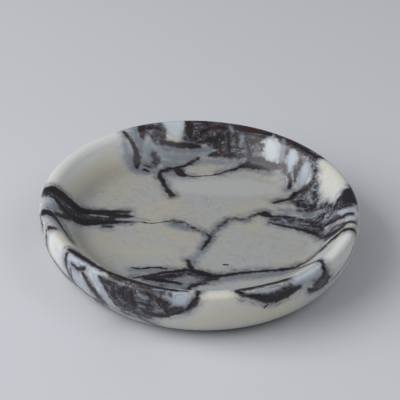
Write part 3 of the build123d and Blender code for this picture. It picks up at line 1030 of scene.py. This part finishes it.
@dataclass(frozen=True)
class BrecciaMarble:
    """Viola breccia marble, turned and satin-polished.

    A creamy calcite body, crushed in places and healed with near-black purple veins and blue-grey calcite.
    The polish is even and soft: window light spreads over the stone, and only the rim's edge draws a bright
    line.
    """

    body: CalciteBody = CalciteBody()
    crushed: CrushedStone = CrushedStone()
    smoke: VeinSmoke = VeinSmoke()
    threads: VeinThreads = VeinThreads()
    # painted shade on the bowl's floor
    floor: FloorPaintedShade = FloorPaintedShade()
    roughness: float = 0.27
    ior: float = 1.5
    specular: float = 0.36  # under the usual 0.5, because the satin surface takes off some of the glare
    bends: tuple[tuple[float, float, float], ...] = ((7.0, 0.5, 1.0), (2.0, 1.1, 1.0), (0.7, 0.6, 1.0))
    coarse_mm: float = 2.2
    fine_mm: float = 0.7
    fine_share: float = 0.6
    fray_middle: float = 0.8  # what the coarse noise and its share of the fine noise come to on average

    def material(self, shape: DishShape) -> bpy.types.Material:
        """Build the marble.

        Args:
            shape: The dish that the pattern is laid out on.

        Returns:
            The material.
        """
        material, tree = new_material("viola_breccia_marble_polished")
        lay = MarbleBuilder(tree, shape, self.coarse_mm, self.fine_mm)
        bent = lay.bend(self.bends)
        frayed = self.frayed(lay, bent)
        tones = self.crushed.colours(lay, bent)
        colour = self.body.colour(lay)
        for stone, look in LOOKS.items():
            if stone is Stone.HAZE:
                near = lay.add(Node.MINIMUM, frayed[Stone.VEIN], frayed[Stone.BRECCIA])
                colour = self.smoke.over(lay, colour, lay.add(Node.MINIMUM, near, frayed[Stone.MATRIX]))
            if stone is Stone.VEIN:
                colour = self.threads.over(lay, colour, frayed[stone])
            cover = lay.add(Node.SMOOTH_RAMP, frayed[stone], look.soft / 2, -look.soft / 2, 0.0, look.cover)
            if stone not in tones:
                inward = lay.add(Node.SMOOTH_RAMP, frayed[stone], look.soft / 4, -look.depth)
                tones[stone] = lay.add(Node.MIX, inward, linear(look.edge), linear(look.middle))
            colour = lay.add(Node.MIX, cover, colour, tones[stone])
        # Painted shade on the floor of the bowl.
        colour = self.floor.over(lay, colour)
        lay.add(Node.SURFACE, lay.add(Node.PRINCIPLED, colour, self.roughness, self.ior, self.specular))
        return material

    def frayed(self, lay: MarbleBuilder, bent: Socket) -> dict[Stone, Socket]:
        """Measure how far the point lies outside each kind of stone, with frayed edges.

        Args:
            lay: The builder of the marble's nodes.
            bent: The bent point in millimetres.

        Returns:
            Millimetres outside the frayed edge, by kind of stone.
        """
        fray = lay.add(Node.MULTIPLY_ADD, lay.fine, self.fine_share, lay.coarse)
        frayed = {}
        for stone, look in LOOKS.items():
            edge = look.grow + self.fray_middle * look.fray
            outside = lay.add(Node.SUBTRACT, lay.distance(bent, stone), edge)
            frayed[stone] = lay.add(Node.MULTIPLY_ADD, fray, look.fray, outside)
        return frayed


@dataclass(frozen=True)
class FootRubber:
    """Moulded polyurethane rubber: matt, dark grey, with the fine grain of its mould."""

    colour: str = "2B2B2D"
    roughness: float = 0.75
    ior: float = 1.5
    specular: float = 0.5
    grain_mm: float = 0.25
    grain_depth_mm: float = 0.03

    def material(self) -> bpy.types.Material:
        """Build the rubber.

        Returns:
            The material.
        """
        material, tree = new_material("polyurethane_rubber_moulded")
        add = partial(add_node, tree)
        grain = add(Node.NOISE, add(Node.OBJECT_POINT), 1 / (self.grain_mm * MM))
        bump = add(Node.BUMP, grain, self.grain_depth_mm * MM)
        shader = add(Node.PRINCIPLED, linear(self.colour), self.roughness, self.ior, self.specular, bump)
        add(Node.SURFACE, shader)
        return material


@dataclass(frozen=True)
class FootFilm:
    """Double-sided acrylic film under each foot: a thin pale edge with a slight sheen."""

    colour: str = "DBD9CC"
    roughness: float = 0.35

    def material(self) -> bpy.types.Material:
        """Build the film.

        Returns:
            The material.
        """
        material, tree = new_material("acrylic_film_double_sided")
        add_node(tree, Node.SURFACE, add_node(tree, Node.PRINCIPLED, linear(self.colour), self.roughness))
        return material


@dataclass(frozen=True)
class DishBody:
    """The turned stone dish, which is one piece."""

    shape: DishShape = DishShape()
    stone: BrecciaMarble = BrecciaMarble()

    def build(self, nodes: dict[str, bpy.types.Object]) -> None:
        """Dress the dish in its marble."""
        dress(nodes["dish"], self.stone.material(self.shape))
        LOG.info("dressed dish")


@dataclass(frozen=True)
class Feet:
    """The four rubber feet and the film that holds each of them."""

    rubber: FootRubber = FootRubber()
    film: FootFilm = FootFilm()

    def build(self, nodes: dict[str, bpy.types.Object]) -> None:
        """Dress each foot and its film.

        Args:
            nodes: The pieces of the object by name.
        """
        finishes = {"rubber_foot": self.rubber.material(), "adhesive_film": self.film.material()}
        for start, material in finishes.items():
            for name in sorted(n for n in nodes if n.startswith(start)):
                dress(nodes[name], material)
                LOG.info("dressed %s", name)


@dataclass(frozen=True)
class SoftLamp:
    """A flat soft lamp that faces the dish.

    The bearing is the side that the light comes from, in degrees from +X, and the level is what it adds to a
    sheet of white paper that lies where the dish stands.
    """

    name: str
    bearing: float
    elevation: float
    width: float
    height: float
    level: float
    distance: float = 1.3
    colour: str = WHITE

    def build(self) -> None:
        """Hang the lamp."""
        bearing, elevation = math.radians(self.bearing), math.radians(self.elevation)
        flat = math.cos(elevation)
        towards = Vector((math.cos(bearing) * flat, math.sin(bearing) * flat, math.sin(elevation)))
        lamp = bpy.data.lights.new(self.name, "AREA")
        lamp.shape = "RECTANGLE"
        lamp.size, lamp.size_y = self.width, self.height
        lamp.color = linear(self.colour)[:3]
        lamp.energy = self.level * math.pi**2 * self.distance**2 / math.sin(elevation)
        holder = bpy.data.objects.new(self.name, lamp)
        bpy.context.collection.objects.link(holder)
        holder.location = towards * self.distance
        holder.rotation_euler = towards.to_track_quat("Z", "Y").to_euler()


@dataclass(frozen=True)
class Studio:
    """The pale floor, the soft lamps and the camera."""

    floor_colour: str = "CBCDD2"
    floor_roughness: float = 0.5
    floor_reach: float = 3.0
    lamps: tuple[SoftLamp, ...] = (
        SoftLamp("window", bearing=200.0, elevation=37.0, width=1.2, height=0.9, level=0.56),
        SoftLamp("window_top", bearing=182.0, elevation=62.0, width=0.9, height=0.7, level=0.09),
        SoftLamp("side_wall", bearing=330.0, elevation=52.0, width=0.9, height=0.7, level=0.15),
    )
    room_colour: str = "F2F4F8"
    room_level: float = 0.25
    camera_distance: float = 0.6529
    camera_elevation: float = 33.61
    camera_roll: float = 2.48
    camera_aim: tuple[float, float, float] = (-0.0001, 0.0376, 0.0)
    lens: float = 135.0

    def build(self) -> None:
        """Set up the floor, the lights and the camera."""
        self.build_floor()
        self.build_room()
        for lamp in self.lamps:
            lamp.build()
        self.build_camera()
        bpy.context.scene.view_settings.view_transform = "Standard"

    def build_floor(self) -> None:
        """Lay the plain pale floor."""
        sheet = bmesh.new()
        bmesh.ops.create_grid(sheet, x_segments=1, y_segments=1, size=self.floor_reach)
        mesh = bpy.data.meshes.new("floor")
        sheet.to_mesh(mesh)
        sheet.free()
        floor = bpy.data.objects.new("floor", mesh)
        bpy.context.collection.objects.link(floor)
        material, tree = new_material("plain_pale_floor")
        shader = add_node(tree, Node.PRINCIPLED, linear(self.floor_colour), self.floor_roughness)
        add_node(tree, Node.SURFACE, shader)
        dress(floor, material)

    def build_room(self) -> None:
        """Surround the dish with the even light of a pale room."""
        world = bpy.data.worlds.new("room")
        bpy.context.scene.world = world
        world.use_nodes = True
        world.node_tree.nodes.clear()
        room = add_node(world.node_tree, Node.BACKGROUND, linear(self.room_colour), self.room_level)
        add_node(world.node_tree, Node.WORLD, room)

    def build_camera(self) -> None:
        """Look at the dish from the front and above, with the slight tilt of the view."""
        elevation = math.radians(self.camera_elevation)
        back = Vector((0.0, -math.cos(elevation), math.sin(elevation)))
        right = Vector((1.0, 0.0, 0.0))
        axes = Matrix((right, back.cross(right), back)).transposed().to_4x4()
        pose = axes @ Matrix.Rotation(math.radians(self.camera_roll), 4, "Z")
        pose.translation = Vector(self.camera_aim) + self.camera_distance * back
        camera = bpy.data.cameras.new("camera")
        camera.lens = self.lens
        holder = bpy.data.objects.new("camera", camera)
        bpy.context.collection.objects.link(holder)
        holder.matrix_world = pose
        bpy.context.scene.camera = holder


def main() -> None:
    """Build the classes in order."""
    logging.basicConfig(level=logging.INFO)
    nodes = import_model()["nodes"]
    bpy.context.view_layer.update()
    DishBody().build(nodes)
    Feet().build(nodes)
    Studio().build()


if __name__ == "__main__":
    main()
